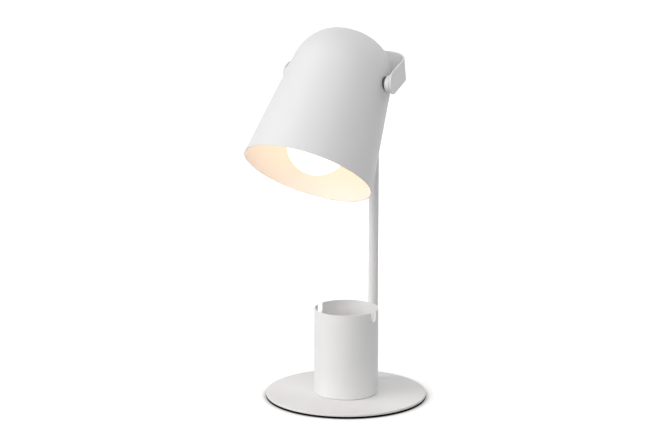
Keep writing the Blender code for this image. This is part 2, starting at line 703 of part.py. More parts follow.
def build_holder(zinc, brass, porcelain, tilt_frame):
    mouth = (0, 0, -pivot_rise)
    pocket = NIPPLE_RADIUS + BORE_GAP
    pocket_floor = holder_back - NIPPLE_POCKET
    outline = round_corners([
        (0, holder_floor, 0), (HOLDER_BORE, holder_floor, 0), (HOLDER_BORE, holder_mouth, 0),
        (HOLDER_RADIUS, holder_mouth, HOLDER_ROUND), (HOLDER_RADIUS, holder_shoulder, HOLDER_ROUND),
        (HOLDER_BACK_RADIUS, holder_back, 0), (pocket, holder_back, 0), (pocket, pocket_floor, 0),
        (0, pocket_floor, 0)])
    make_piece("holder_body", turned(outline, MEDIUM_SIDES), porcelain, tilt_frame, mouth)

    liner_radius = HOLDER_BORE - BORE_GAP
    liner_high = holder_floor - SEAT_GAP
    liner = tube(liner_radius, liner_radius - LINER_WALL, liner_high - LINER_DEPTH, liner_high, MEDIUM_SIDES)
    make_piece("holder_liner", liner, brass, tilt_frame, mouth)
    contact = rod(CONTACT_RADIUS, bulb_tip_rise() + SEAT_GAP, holder_floor - SEAT_GAP, SMALL_SIDES)
    make_piece("holder_contact", contact, brass, tilt_frame, mouth)

    nipple = tube(
        NIPPLE_RADIUS, NIPPLE_BORE, pocket_floor + SEAT_GAP, holder_back + NIPPLE_OVER_BACK, SMALL_SIDES)
    make_piece("holder_nipple", nipple, zinc, tilt_frame, mouth)
    nut_low = bridge_top + SEAT_GAP
    nut = make_piece("holder_nut", prism(NUT_RADIUS, nut_low, nut_low + NUT_THICKNESS, 6), zinc, tilt_frame, mouth)
    bore = rod(NIPPLE_RADIUS + BORE_GAP, nut_low - CUT_OVERRUN, nut_low + NUT_THICKNESS + CUT_OVERRUN, SMALL_SIDES)
    cut(nut, "nut_bore", bore, tilt_frame, mouth)


# Bulb

def cap_rise():
    return bulb_body_top + SEAT_GAP


def insulator_rise():
    return cap_rise() + CAP_LENGTH + SEAT_GAP


def tip_rise():
    return insulator_rise() + INSULATOR_LENGTH + SEAT_GAP


def bulb_tip_rise():
    return tip_rise() + TIP_HEIGHT


def globe_curve(offset):
    """Return the globe's curve from its front tip to the joint, moved out by an offset."""
    radius = BULB_RADIUS + offset
    points = arc_points(0, bulb_centre, radius, -math.pi / 2, joint_angle, 14)
    end = Vector((radius * math.cos(joint_angle), bulb_joint))
    return [Vector((0, bulb_centre - radius))] + points[1:-1] + [end]


def body_curve(offset):
    """Return the bulb's outline from the joint up to the cap, narrowing ever more slowly to the neck."""
    low = bulb_joint + SEAT_GAP
    high = bulb_body_top
    joint_radius = BULB_RADIUS * math.cos(joint_angle)
    points = []
    steps = 6
    for step in range(steps + 1):
        share = step / steps
        ease = (1 - share) ** 2
        points.append(Vector((
            BULB_NECK_RADIUS + (joint_radius - BULB_NECK_RADIUS) * ease + offset, low + (high - low) * share)))
    return points


def cap_outline():
    """Return the screw cap: a cup whose wall has rounded thread ridges."""
    low = cap_rise()
    pitch = CAP_LENGTH / (CAP_THREADS + 1)
    root = CAP_RADIUS - CAP_THREAD_DEPTH
    points = [Vector((0, low)), Vector((root, low))]
    for thread in range(CAP_THREADS):
        start = low + pitch * (thread + 1 / 2)
        points += [Vector((root, start)), Vector((CAP_RADIUS, start + pitch / 2))]
    points += [Vector((root, start + pitch)), Vector((root, low + CAP_LENGTH)), Vector((0, low + CAP_LENGTH))]
    return points


def build_bulb(opal, plastic, board, nickel, black_glass, brass, tilt_frame):
    mouth = (0, 0, -pivot_rise)
    globe = globe_curve(0) + list(reversed(globe_curve(-BULB_SHELL)))
    make_piece("bulb_globe", turned(globe, MEDIUM_SIDES), opal, tilt_frame, mouth)

    outer = body_curve(0)
    inner = list(reversed(body_curve(-BULB_BODY_WALL)))
    make_piece("bulb_body", turned(outer + inner, MEDIUM_SIDES), plastic, tilt_frame, mouth)

    board_low = bulb_joint + SEAT_GAP
    disc = rod(BULB_BOARD_RADIUS, board_low, board_low + BULB_BOARD_THICKNESS, MEDIUM_SIDES)
    make_piece("bulb_light_board", disc, board, tilt_frame, mouth)

    make_piece("bulb_cap", turned(cap_outline(), SMALL_SIDES), nickel, tilt_frame, mouth)
    low = insulator_rise()
    insulator = turned([
        (0, low), (CAP_RADIUS - CAP_THREAD_DEPTH, low), (INSULATOR_TIP_RADIUS, low + INSULATOR_LENGTH),
        (0, low + INSULATOR_LENGTH)], SMALL_SIDES)
    make_piece("bulb_insulator", insulator, black_glass, tilt_frame, mouth)
    low = tip_rise()
    tip = turned(round_corners([
        (0, low, 0), (TIP_RADIUS, low, 0), (TIP_RADIUS, low + TIP_HEIGHT, TIP_HEIGHT / 2),
        (0, low + TIP_HEIGHT, 0)]), SMALL_SIDES)
    make_piece("bulb_tip_contact", tip, brass, tilt_frame, mouth)


def build_lamp():
    clear_scene()
    coat = make_material("white_powder_coat", (0.80, 0.80, 0.80), 0.45, 0.0)
    foam = make_material("black_foam", (0.015, 0.015, 0.016), 0.80, 0.0)
    zinc = make_material("zinc_plated_steel", (0.62, 0.62, 0.60), 0.35, 1.0)
    rubber = make_material("black_rubber", (0.02, 0.02, 0.02), 0.70, 0.0)
    nylon = make_material("white_nylon", (0.85, 0.84, 0.80), 0.50, 0.0)
    brass = make_material("brass", (0.72, 0.53, 0.24), 0.30, 1.0)
    porcelain = make_material("white_porcelain", (0.86, 0.85, 0.82), 0.20, 0.0)
    opal = make_material("opal_globe", (0.95, 0.94, 0.90), 0.30, 0.0)
    plastic = make_material("white_plastic", (0.88, 0.88, 0.86), 0.40, 0.0)
    board = make_material("board_aluminium", (0.88, 0.88, 0.86), 0.40, 0.0)
    nickel = make_material("nickel_cap", (0.70, 0.68, 0.64), 0.28, 1.0)
    black_glass = make_material("black_glass", (0.02, 0.02, 0.025), 0.15, 0.0)

    yoke_frame = make_empty("yoke_frame", pivot, (YOKE_PITCH, 0, 0))
    tilt_frame = make_empty("tilt_frame", pivot, (-SHADE_TILT, 0, 0))
    build_base(coat, foam, zinc)
    build_cup(coat, zinc)
    build_pole(coat, zinc, nylon)
    build_pole_head(coat, zinc, yoke_frame)
    build_yoke(coat, zinc, yoke_frame)
    build_pivot_hardware(coat, zinc, yoke_frame)
    build_shade(coat, nylon, tilt_frame)
    build_washers(rubber, nylon, tilt_frame)
    build_bridge(zinc, tilt_frame)
    build_holder(zinc, brass, porcelain, tilt_frame)
    build_bulb(opal, plastic, board, nickel, black_glass, brass, tilt_frame)


build_lamp()
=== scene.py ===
"""Dresses the desk lamp with a pen cup: finer pieces, painted and plated finishes, studio light and camera.

Lengths are metres, +Z is up and the lamp faces -Y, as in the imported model.
"""
import math

import bmesh
import bpy
from mathutils import Matrix, Vector


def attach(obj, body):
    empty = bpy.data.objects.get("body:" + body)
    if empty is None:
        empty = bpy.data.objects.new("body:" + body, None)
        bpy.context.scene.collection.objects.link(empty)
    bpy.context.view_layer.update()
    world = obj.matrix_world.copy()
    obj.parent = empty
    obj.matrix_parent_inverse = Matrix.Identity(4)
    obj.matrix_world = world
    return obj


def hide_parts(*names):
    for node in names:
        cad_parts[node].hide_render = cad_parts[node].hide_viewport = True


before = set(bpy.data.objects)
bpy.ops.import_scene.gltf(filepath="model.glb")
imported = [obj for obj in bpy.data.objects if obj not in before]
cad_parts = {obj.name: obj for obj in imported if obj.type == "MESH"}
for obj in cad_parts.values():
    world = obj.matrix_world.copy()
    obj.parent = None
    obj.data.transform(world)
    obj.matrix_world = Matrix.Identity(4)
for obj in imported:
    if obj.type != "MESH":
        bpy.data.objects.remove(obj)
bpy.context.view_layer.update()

# Fits
SEAT_GAP = 0.0003
BORE_GAP = 0.0003
OVERRUN = 0.003
MERGE_DISTANCE = 0.000002
SHARP_ANGLE = math.radians(38)

# Base and cup
BASE_RADIUS = 0.080
BASE_BOTTOM = 0.0023
BASE_TOP = 0.0043
BASE_ROUND = 0.0006
PAD_RADIUS = 0.0799
PAD_TOP = 0.0020
PAD_ROUND = 0.0002
CUP_RADIUS = 0.0320
CUP_WALL = 0.0010
CUP_BOTTOM = 0.0044
CUP_FLOOR_TOP = 0.0058
CUP_TOP = 0.0910
CUP_CORNER = 0.0014
CUP_RIM_ROUND = 0.00025
SLOT_WIDTH = 0.0090
SLOT_DEPTH = 0.0102
CUP_SCREW_SPACING = 0.030

# Pivot, yoke and pole
PIVOT = Vector((0, -0.0134, 0.3252))
YOKE_HALF_SPAN = 0.0601
YOKE_DEPTH = 0.0607
YOKE_WIDTH = 0.0217
YOKE_THICKNESS = 0.0020
YOKE_BEND_RADIUS = 0.0313
YOKE_DRAW_IN = math.radians(14.3)
YOKE_PITCH = math.radians(9.3)
YOKE_END_REACH = 0.0080
YOKE_EDGE_ROUND = 0.00035
POLE_RADIUS = 0.0050
POLE_WALL = 0.0010
POLE_BELOW_YOKE = 0.0012
HEAD_FLAT_DEPTH = 0.0005
HEAD_BELOW_YOKE = 0.0025
HEAD_ROUND = 0.0015
HEAD_SCREW_SPACING = 0.0100
HEAD_SCREW_DEPTH = 0.0050
POLE_PLUG_LENGTH = 0.014
POLE_HOLE_RADIUS = 0.0032
INLET_HEIGHT = 0.024
OUTLET_DROP = 0.020
LIP_RADIUS = 0.0041
LIP_RISE = 0.0003
LIP_GAP = 0.00005
LEAD_RADIUS = 0.0020

# Shade and pivot washers
SHADE_TILT = math.radians(34.8)
SHADE_MOUTH_RADIUS = 0.0646
SHADE_CONE_LENGTH = 0.1091
SHADE_TAPER = math.radians(7.5)
SHADE_WALL = 0.0010
CROWN_SHOULDER = 0.0012
CROWN_DROP = 0.0024
SHADE_PIVOT_RISE = 0.1029
SHADE_HOLE_RADIUS = 0.0042
SHADE_RIM_ROUND = 0.00035
WASHER_RADIUS = 0.0065
WASHER_FACE = 0.0543
BOSS_RADIUS = 0.00825
BOSS_ROUND = 0.0005

# Bulb
BULB_RADIUS = 0.0300
BULB_CENTRE_RISE = 0.0316
BULB_JOINT_RISE = 0.0491
BULB_SHELL = 0.0012
BULB_BODY_TOP_RISE = 0.0830
BULB_BODY_WALL = 0.0015
BULB_NECK_RADIUS = 0.0140

# Screws
M3_RADIUS = 0.0015
M3_HEAD_RADIUS = 0.0029
M3_HEAD_HEIGHT = 0.0016
M4_RADIUS = 0.0020
M5_RADIUS = 0.0025
M5_HEAD_RADIUS = 0.0042
M5_HEAD_HEIGHT = 0.0017
SCREW_RIM = 0.0003

# Facets
ROUND_SIDES = 160
BULB_SIDES = 96
POLE_SIDES = 72
HOLE_SIDES = 48
FLOOR_SIDES = 96
CROWN_STEPS = 40
GLOBE_STEPS = 40
NECK_STEPS = 16
STRAP_STEPS = 120
STRAP_END_STEPS = 24
CORNER_STEPS = 4

# Pattern that every finish shares
PATCH_DETAIL = 4
PATCH_ROUGHNESS = 0.6
PATCH_SPREAD = (0.3, 0.7)
GRAIN_DETAIL = 2
PIT_SHARE = 0.35

# Finishes: name, CAD slot, pale and deep colour, patch scale, grain scale, grain depth, roughness range
# and metallic
FINISHES = (
    ("powder_coat", "white_coat", (0.86, 0.86, 0.86), (0.83, 0.83, 0.83),
     14, 1100, 0.000012, (0.42, 0.52), 0),
    # the shade's copy of the same powder coat is painted about 3 % darker: painted shade that dims the lamp's
    # shade against the base and cup
    ("lampshade_coat_painted_darker", "white_coat", (0.835, 0.835, 0.835), (0.805, 0.805, 0.805),
     14, 1100, 0.000012, (0.42, 0.52), 0),
    ("pad_foam", "black_foam", (0.008, 0.008, 0.009), (0.004, 0.004, 0.004),
     90, 1800, 0.00015, (0.80, 0.95), 0),
    ("zinc_plate", "zinc_steel", (0.66, 0.66, 0.64), (0.52, 0.52, 0.52),
     160, 2200, 0.000008, (0.26, 0.42), 1),
    ("washer_rubber", "black_rubber", (0.085, 0.085, 0.085), (0.060, 0.060, 0.061),
     200, 2600, 0.00003, (0.6, 0.8), 0),
    ("washer_nylon", "white_nylon", (0.84, 0.83, 0.79), (0.76, 0.75, 0.70),
     160, 1500, 0.00001, (0.42, 0.55), 0),
    ("contact_brass", "brass", (0.74, 0.56, 0.26), (0.60, 0.43, 0.18),
     140, 2000, 0.000006, (0.24, 0.40), 1),
    ("holder_porcelain", "white_porcelain", (0.87, 0.86, 0.83), (0.82, 0.81, 0.77),
     60, 400, 0.00001, (0.12, 0.24), 0),
    ("globe_opal", "opal_globe", (0.93, 0.92, 0.90), (0.89, 0.88, 0.86),
     50, 900, 0.000004, (0.25, 0.34), 0),
    ("neck_plastic", "white_plastic", (0.88, 0.88, 0.86), (0.84, 0.84, 0.82),
     70, 1300, 0.000012, (0.36, 0.48), 0),
    ("board_plate", "board_aluminium", (0.88, 0.88, 0.86), (0.80, 0.80, 0.79),
     120, 1600, 0.00001, (0.34, 0.50), 0),
    ("cap_nickel", "nickel_brass", (0.72, 0.70, 0.66), (0.60, 0.58, 0.54),
     150, 2400, 0.000006, (0.22, 0.36), 1),
    ("cap_glass", "black_glass", (0.024, 0.024, 0.030), (0.014, 0.014, 0.018),
     120, 700, 0.000006, (0.08, 0.18), 0))
FOAM_SPECULAR = 0.1
BULB_GLOW_COLOUR = (1, 0.67, 0.42)
BULB_GLOW = 3

# CAD nodes that stay shown, by the finish they get
KEPT_NODES = {
    "zinc_plate": (
        "base_screw", "cup_screw_left", "cup_screw_right", "pole_foot_plug",
        "yoke_screw_lower", "yoke_screw_upper", "spring_washer_left", "spring_washer_right",
        "pivot_screw_left", "pivot_screw_right", "holder_bridge", "holder_nipple", "holder_nut"),
    "washer_nylon": ("shade_grommet", "inner_washer_left", "inner_washer_right"),
    "contact_brass": ("holder_liner", "holder_contact", "bulb_tip_contact"),
    "holder_porcelain": ("holder_body",),
    "board_plate": ("bulb_light_board",),
    "cap_nickel": ("bulb_cap",),
    "cap_glass": ("bulb_insulator",)}

# Studio
CAMERA_PLACE = (1.44544, -2.34115, 0.82844)
CAMERA_TURN = [math.radians(angle) for angle in (76.7109, -0.1964, 32.0207)]
CAMERA_LENS = 154.601
CAMERA_SENSOR = 36
CAMERA_REACH = 50
FILL_LEVEL = 0.125
FLOOR_RADIUS = 6
FLOOR_COLOUR = (0.55, 0.55, 0.55, 1)
FLOOR_ROUGHNESS = 0.9
FLOOR_GLOW = (0.72, 1)
FLOOR_GLOW_REACH = (0.15, 0.7)
# painted contact shadow: ambient occlusion within this reach dims the floor's glow near the lamp
CONTACT_SHADOW_REACH = 0.06
CONTACT_SHADOW_STRENGTH = 2.5
CONTACT_SHADOW_SAMPLES = 16
LIGHT_TARGET = Vector((0, 0, 0.2))
LIGHT_DISTANCE = 2.2
SOFTBOX_SIZE = (2.0, 2.0)

# Softboxes: name, azimuth (0 in front, 90 at the right) and elevation in degrees, power in watts
SOFTBOXES = (
    ("left", -37, 30, 29),
    ("low_left", -55, 6, 10),
    ("right", 33, 30, 20),
    ("rear", 150, 42, 13),
    ("rear_left", -150, 25, 4))
WHITE = (1, 1, 1, 1)

yoke_frame = Matrix.Translation(PIVOT) @ Matrix.Rotation(YOKE_PITCH, 4, "X")
tilt_frame = Matrix.Translation(PIVOT) @ Matrix.Rotation(-SHADE_TILT, 4, "X")
mouth_frame = tilt_frame @ Matrix.Translation((0, 0, -SHADE_PIVOT_RISE))
yoke_back = yoke_frame @ Vector((0, YOKE_DEPTH, 0))
yoke_low_edge = yoke_frame @ Vector((0, YOKE_DEPTH, -YOKE_WIDTH / 2))
yoke_high_edge = yoke_frame @ Vector((0, YOKE_DEPTH, YOKE_WIDTH / 2))
pole_place = Vector((0, yoke_back.y + SEAT_GAP + POLE_RADIUS - HEAD_FLAT_DEPTH, 0))
pole_bottom = BASE_TOP + SEAT_GAP
pole_top = yoke_low_edge.z - POLE_BELOW_YOKE
head_top = yoke_high_edge.z - HEAD_BELOW_YOKE


# Shapes

def turned(outline, sides, closed=True):
    """Spin an outline of (radius, height) points about Z."""
    shape = bmesh.new()
    points = [shape.verts.new((radius, 0, height)) for radius, height in outline]
    followers = points[1:] + points[:1] if closed else points[1:]
    edges = []
    for first, second in zip(points, followers):
        if max(first.co.x, second.co.x) > MERGE_DISTANCE:
            edges.append(shape.edges.new((first, second)))
    bmesh.ops.spin(
        shape, geom=points + edges, cent=(0, 0, 0), axis=(0, 0, 1), dvec=(0, 0, 0),
        angle=math.tau, steps=sides, use_merge=True, use_normal_flip=False, use_duplicate=False)
    bmesh.ops.remove_doubles(shape, verts=shape.verts, dist=MERGE_DISTANCE)
    bmesh.ops.recalc_face_normals(shape, faces=shape.faces)
    return shape


def rod(radius, low, high, sides=HOLE_SIDES):
    return turned([(0, low), (radius, low), (radius, high), (0, high)], sides)


def tube(outer, inner, low, high, sides):
    return turned([(inner, low), (outer, low), (outer, high), (inner, high)], sides)


def round_edges(shape, width, wanted):
    """Bevel the sharp edges that wanted picks."""
    edges = [
        edge for edge in shape.edges
        if len(edge.link_faces) == 2 and edge.calc_face_angle() > SHARP_ANGLE and wanted(edge)]
    bmesh.ops.bevel(
        shape, geom=edges, offset=width, offset_type="OFFSET", affect="EDGES",
        segments=CORNER_STEPS, profile=0.5, material=-1, clamp_overlap=True)


def between(low, high):
    """Return a picker of the edges whose ends all lie between two heights."""
    return lambda edge: all(low < vert.co.z < high for vert in edge.verts)


def at_height(height):
    return between(height - MERGE_DISTANCE, height + MERGE_DISTANCE)


def placed(shape, matrix):
    bmesh.ops.transform(shape, matrix=matrix, verts=shape.verts)
    return shape


def moved(shape, offset):
    bmesh.ops.translate(shape, verts=shape.verts, vec=offset)
    return shape


def new_object(name, data):
    item = bpy.data.objects.new(name, data)
    bpy.context.scene.collection.objects.link(item)
    return item


def mesh_of(name, shape):
    mesh = bpy.data.meshes.new(name)
    shape.to_mesh(mesh)
    shape.free()
    return mesh


def combined(shape, other, operation):
    """Return the Boolean of two shapes and drop both."""
    target = new_object("target", mesh_of("target", shape))
    tool = new_object("tool", mesh_of("tool", other))
    modifier = target.modifiers.new("cut", "BOOLEAN")
    modifier.operation = operation
    modifier.solver = "EXACT"
    modifier.object = tool
    result = bmesh.new()
    result.from_object(target, bpy.context.evaluated_depsgraph_get())
    for item in (target, tool):
        mesh = item.data
        bpy.data.objects.remove(item)
        bpy.data.meshes.remove(mesh)
    bmesh.ops.remove_doubles(result, verts=result.verts, dist=MERGE_DISTANCE)
    return result


def cut(shape, tool):
    return combined(shape, tool, "DIFFERENCE")


def with_cup_screw_holes(shape, low, high):
    """Cut the holes of the cup's two screws right through a shape between two heights."""
    for side in (-1, 1):
        hole = rod(M4_RADIUS + BORE_GAP, low - OVERRUN, high + OVERRUN)
        shape = cut(shape, moved(hole, (side * CUP_SCREW_SPACING / 2, 0, 0)))
    return shape


def sunk_hole(radius, head_radius, head_height, depth):
    """Return the cutter for a flat screw: its head's cone and a plain hole below."""
    wide = head_radius + BORE_GAP
    narrow = radius + BORE_GAP
    return turned([
        (0, -depth), (narrow, -depth), (narrow, -head_height), (wide, -SCREW_RIM),
        (wide, OVERRUN), (0, OVERRUN)], HOLE_SIDES)


def add_piece(name, shape, material, body, node_name):
    """Make a shown piece from a shape in the lamp's frame; it stands for this CAD node."""
    mesh = mesh_of(name, shape)
    mesh.shade_smooth()
    mesh.set_sharp_from_angle(angle=SHARP_ANGLE)
    mesh.materials.append(material)
    piece = new_object(name, mesh)
    even = piece.modifiers.new("even_shading", "WEIGHTED_NORMAL")
    even.keep_sharp = True
    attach(piece, body)
    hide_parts(node_name)


# Base and cup

def build_base(coat, foam):
    pad = rod(PAD_RADIUS, 0, PAD_TOP, ROUND_SIDES)
    round_edges(pad, PAD_ROUND, between(-OVERRUN, PAD_TOP + OVERRUN))
    add_piece("foot_pad", pad, foam, "base", "base_pad")

    plate = rod(BASE_RADIUS, BASE_BOTTOM, BASE_TOP, ROUND_SIDES)
    round_edges(plate, BASE_ROUND, at_height(BASE_TOP))
    plate = with_cup_screw_holes(plate, BASE_BOTTOM, BASE_TOP)
    foot = Matrix.Translation((0, pole_place.y, BASE_BOTTOM)) @ Matrix.Rotation(math.pi, 4, "X")
    sink = sunk_hole(M5_RADIUS, M5_HEAD_RADIUS, M5_HEAD_HEIGHT, BASE_TOP - BASE_BOTTOM + OVERRUN)
    plate = cut(plate, placed(sink, foot))
    add_piece("base_disc", plate, coat, "base", "base_plate")


def slot_bar():
    """Return the bar along X, round below, that cuts both rim slots."""
    reach = CUP_RADIUS + OVERRUN
    bar = rod(SLOT_WIDTH / 2, -reach, reach)
    bar = placed(bar, Matrix.Rotation(math.pi / 2, 4, "Y"))
    upper = [vert for vert in bar.verts if vert.co.z > -MERGE_DISTANCE]
    for vert in upper:
        across = vert.co.y
        if abs(across) > MERGE_DISTANCE:
            vert.co.y = math.copysign(SLOT_WIDTH / 2, across)
    bmesh.ops.translate(bar, verts=upper, vec=(0, 0, SLOT_DEPTH))
    return moved(bar, (0, 0, CUP_TOP - SLOT_DEPTH + SLOT_WIDTH / 2))


def build_cup(coat):
    inner = CUP_RADIUS - CUP_WALL
    cup = turned([
        (0, CUP_BOTTOM), (CUP_RADIUS, CUP_BOTTOM), (CUP_RADIUS, CUP_TOP), (inner, CUP_TOP),
        (inner, CUP_FLOOR_TOP), (0, CUP_FLOOR_TOP)], ROUND_SIDES)
    round_edges(cup, CUP_CORNER, between(CUP_BOTTOM - OVERRUN, CUP_BOTTOM + MERGE_DISTANCE))
    round_edges(cup, CUP_CORNER - CUP_WALL, at_height(CUP_FLOOR_TOP))
    cup = cut(cup, slot_bar())
    round_edges(cup, CUP_RIM_ROUND, between(CUP_TOP - SLOT_DEPTH - OVERRUN, CUP_TOP + OVERRUN))
    cup = with_cup_screw_holes(cup, CUP_BOTTOM, CUP_FLOOR_TOP)
    add_piece("cup_shell", cup, coat, "base", "pen_cup")


# Pole

def build_grommet(name, height, way, nylon):
    """Make a grommet whose lip hugs the pole's round wall."""
    reach = POLE_RADIUS + OVERRUN
    low = height - 2 * LIP_RADIUS
    high = height + 2 * LIP_RADIUS
    collar = tube(POLE_RADIUS + LIP_RISE, POLE_RADIUS + LIP_GAP, low, high, POLE_SIDES)
    lip = combined(collar, placed(rod(LIP_RADIUS, 0, reach), way), "INTERSECT")
    barrel = tube(
        POLE_RADIUS + LIP_RISE / 2, POLE_RADIUS - POLE_WALL - LIP_RISE, low, high, POLE_SIDES)
    sleeve = combined(barrel, placed(rod(POLE_HOLE_RADIUS - BORE_GAP, 0, reach), way), "INTERSECT")
    grommet = cut(combined(lip, sleeve, "UNION"), placed(rod(LEAD_RADIUS, 0, reach), way))
    add_piece("lead_" + name, moved(grommet, pole_place), nylon, "base", name)


def build_pole(coat, nylon):
    bore = POLE_RADIUS - POLE_WALL
    pole = tube(POLE_RADIUS, bore, pole_bottom, pole_top, POLE_SIDES)
    for name, height, turn in (
            ("inlet_grommet", INLET_HEIGHT, -math.pi / 2),
            ("outlet_grommet", pole_top - OUTLET_DROP, math.pi / 2)):
        way = Matrix.Translation((0, 0, height)) @ Matrix.Rotation(turn, 4, "X")
        pole = cut(pole, placed(rod(POLE_HOLE_RADIUS, 0, POLE_RADIUS + OVERRUN), way))
        build_grommet(name, height, way, nylon)
    add_piece("pole_tube", moved(pole, pole_place), coat, "base", "pole")

    low = pole_top - POLE_PLUG_LENGTH
    collar = pole_top + SEAT_GAP
    head = turned([
        (0, low), (bore - BORE_GAP, low), (bore - BORE_GAP, collar), (POLE_RADIUS, collar),
        (POLE_RADIUS, head_top), (0, head_top)], POLE_SIDES)
    round_edges(head, HEAD_ROUND, at_height(head_top))
    block = bmesh.new()
    bmesh.ops.create_cube(block, size=1)
    depth = 2 * POLE_RADIUS
    bmesh.ops.scale(block, verts=block.verts, vec=(2 * depth, depth, YOKE_WIDTH + 2 * SEAT_GAP))
    block = moved(block, (0, YOKE_DEPTH + SEAT_GAP - depth / 2, 0))
    head = cut(moved(head, pole_place), placed(block, yoke_frame))
    for side in (-1, 1):
        hole = rod(M3_RADIUS + BORE_GAP, -OVERRUN, HEAD_SCREW_DEPTH + 2 * SEAT_GAP)
        way = yoke_frame @ Matrix.Translation((0, YOKE_DEPTH, side * HEAD_SCREW_SPACING / 2))
        head = cut(head, placed(hole, way @ Matrix.Rotation(-math.pi / 2, 4, "X")))
    add_piece("pole_cap", head, coat, "base", "pole_head")


# Yoke

def yoke_stretches():
    """Return the strap's (length, turn) stretches from the middle of its back to the end of an arm."""
    bend = math.pi / 2 - YOKE_DRAW_IN
    arm_length = (YOKE_DEPTH - YOKE_BEND_RADIUS * (1 - math.cos(bend))) / math.cos(YOKE_DRAW_IN)
    bend_span = YOKE_BEND_RADIUS * math.sin(bend)
    flat_half = YOKE_HALF_SPAN - arm_length * math.sin(YOKE_DRAW_IN) - bend_span
    return [(flat_half, 0), (YOKE_BEND_RADIUS * bend, -bend), (arm_length + YOKE_END_REACH, 0)]


def walk(stretches, distance):
    """Return the place and heading after this distance along (length, turn) stretches."""
    place = Vector((0, 0))
    heading = 0
    for length, turn in stretches:
        step = min(distance, length)
        if turn == 0:
            place += Vector((math.cos(heading), math.sin(heading))) * step
        else:
            radius = length / turn
            after = heading + step / radius
            along = math.sin(after) - math.sin(heading)
            aside = math.cos(heading) - math.cos(after)
            place += Vector((along, aside)) * radius
            heading = after
        distance -= step
        if distance <= 0:
            break
    return place, heading


def flat_strap(half_length, half_width):
    """Return a flat sheet along X with half-round ends."""
    straight = half_length - half_width
    sheet = bmesh.new()
    bmesh.ops.create_grid(sheet, x_segments=STRAP_STEPS, y_segments=2, size=1)
    bmesh.ops.scale(sheet, verts=sheet.verts, vec=(straight, half_width, 1))
    for side in (-1, 1):
        start = sheet.verts.new((side * straight, 0, 0))
        end = sheet.verts.new((side * straight, -half_width, 0))
        edge = sheet.edges.new((start, end))
        bmesh.ops.spin(
            sheet, geom=[start, end, edge], cent=(side * straight, 0, 0), axis=(0, 0, side),
            dvec=(0, 0, 0), angle=math.pi, steps=STRAP_END_STEPS, use_merge=False,
            use_normal_flip=False, use_duplicate=False)
    bmesh.ops.remove_doubles(sheet, verts=sheet.verts, dist=MERGE_DISTANCE)
    bmesh.ops.recalc_face_normals(sheet, faces=sheet.faces)
    return sheet


def build_yoke(coat):
    stretches = yoke_stretches()
    half_length = sum(stretch[0] for stretch in stretches)
    strap = flat_strap(half_length, YOKE_WIDTH / 2)
    lower = bmesh.ops.extrude_face_region(strap, geom=strap.faces[:], use_keep_orig=True)
    sunk = [item for item in lower["geom"] if isinstance(item, bmesh.types.BMVert)]
    bmesh.ops.translate(strap, verts=sunk, vec=(0, 0, -YOKE_THICKNESS))
    bmesh.ops.recalc_face_normals(strap, faces=strap.faces)
    round_edges(strap, YOKE_EDGE_ROUND, between(-OVERRUN, OVERRUN))
    for vert in strap.verts:
        side = -1 if vert.co.x < 0 else 1
        place, heading = walk(stretches, abs(vert.co.x))
        place += Vector((math.sin(heading), -math.cos(heading))) * -vert.co.z
        vert.co = Vector((side * place.x, place.y + YOKE_DEPTH, vert.co.y))
    bmesh.ops.recalc_face_normals(strap, faces=strap.faces)
    for side in (-1, 1):
        sink = sunk_hole(M3_RADIUS, M3_HEAD_RADIUS, M3_HEAD_HEIGHT, YOKE_THICKNESS + OVERRUN)
        way = Matrix.Translation((0, YOKE_DEPTH - YOKE_THICKNESS, side * HEAD_SCREW_SPACING / 2))
        strap = cut(strap, placed(sink, way @ Matrix.Rotation(math.pi / 2, 4, "X")))
    add_piece("yoke_strap", placed(strap, yoke_frame), coat, "base", "yoke")


def arm_inner_face(offset):
    """Return how far out the arm's inner face lies on the pivot axis, moved in by an offset."""
    return YOKE_HALF_SPAN - (YOKE_THICKNESS + offset) / math.cos(YOKE_DRAW_IN)


def build_bosses(coat):
    low = WASHER_FACE + SEAT_GAP
    high = arm_inner_face(0) + BOSS_RADIUS * math.tan(YOKE_DRAW_IN)
    bore = M4_RADIUS + BORE_GAP
    for side, name in ((-1, "left"), (1, "right")):
        boss = tube(BOSS_RADIUS, bore, low, high, POLE_SIDES)
        round_edges(boss, BOSS_ROUND, lambda edge: all(
            vert.co.z < low + MERGE_DISTANCE and vert.co.xy.length > BOSS_RADIUS - MERGE_DISTANCE
            for vert in edge.verts))
        boss = placed(boss, Matrix.Rotation(side * math.pi / 2, 4, "Y"))
        outward = Vector((side * math.cos(YOKE_DRAW_IN), math.sin(YOKE_DRAW_IN), 0))
        face = bmesh.ops.bisect_plane(
            boss, geom=boss.verts[:] + boss.edges[:] + boss.faces[:], dist=MERGE_DISTANCE,
            plane_co=(side * arm_inner_face(SEAT_GAP), 0, 0), plane_no=outward, clear_outer=True)
        rings = [item for item in face["geom_cut"] if isinstance(item, bmesh.types.BMEdge)]
        bmesh.ops.bridge_loops(boss, edges=rings)
        bmesh.ops.recalc_face_normals(boss, faces=boss.faces)
        add_piece("boss_" + name, placed(boss, yoke_frame), coat, "base", "pivot_boss_" + name)


# Shade

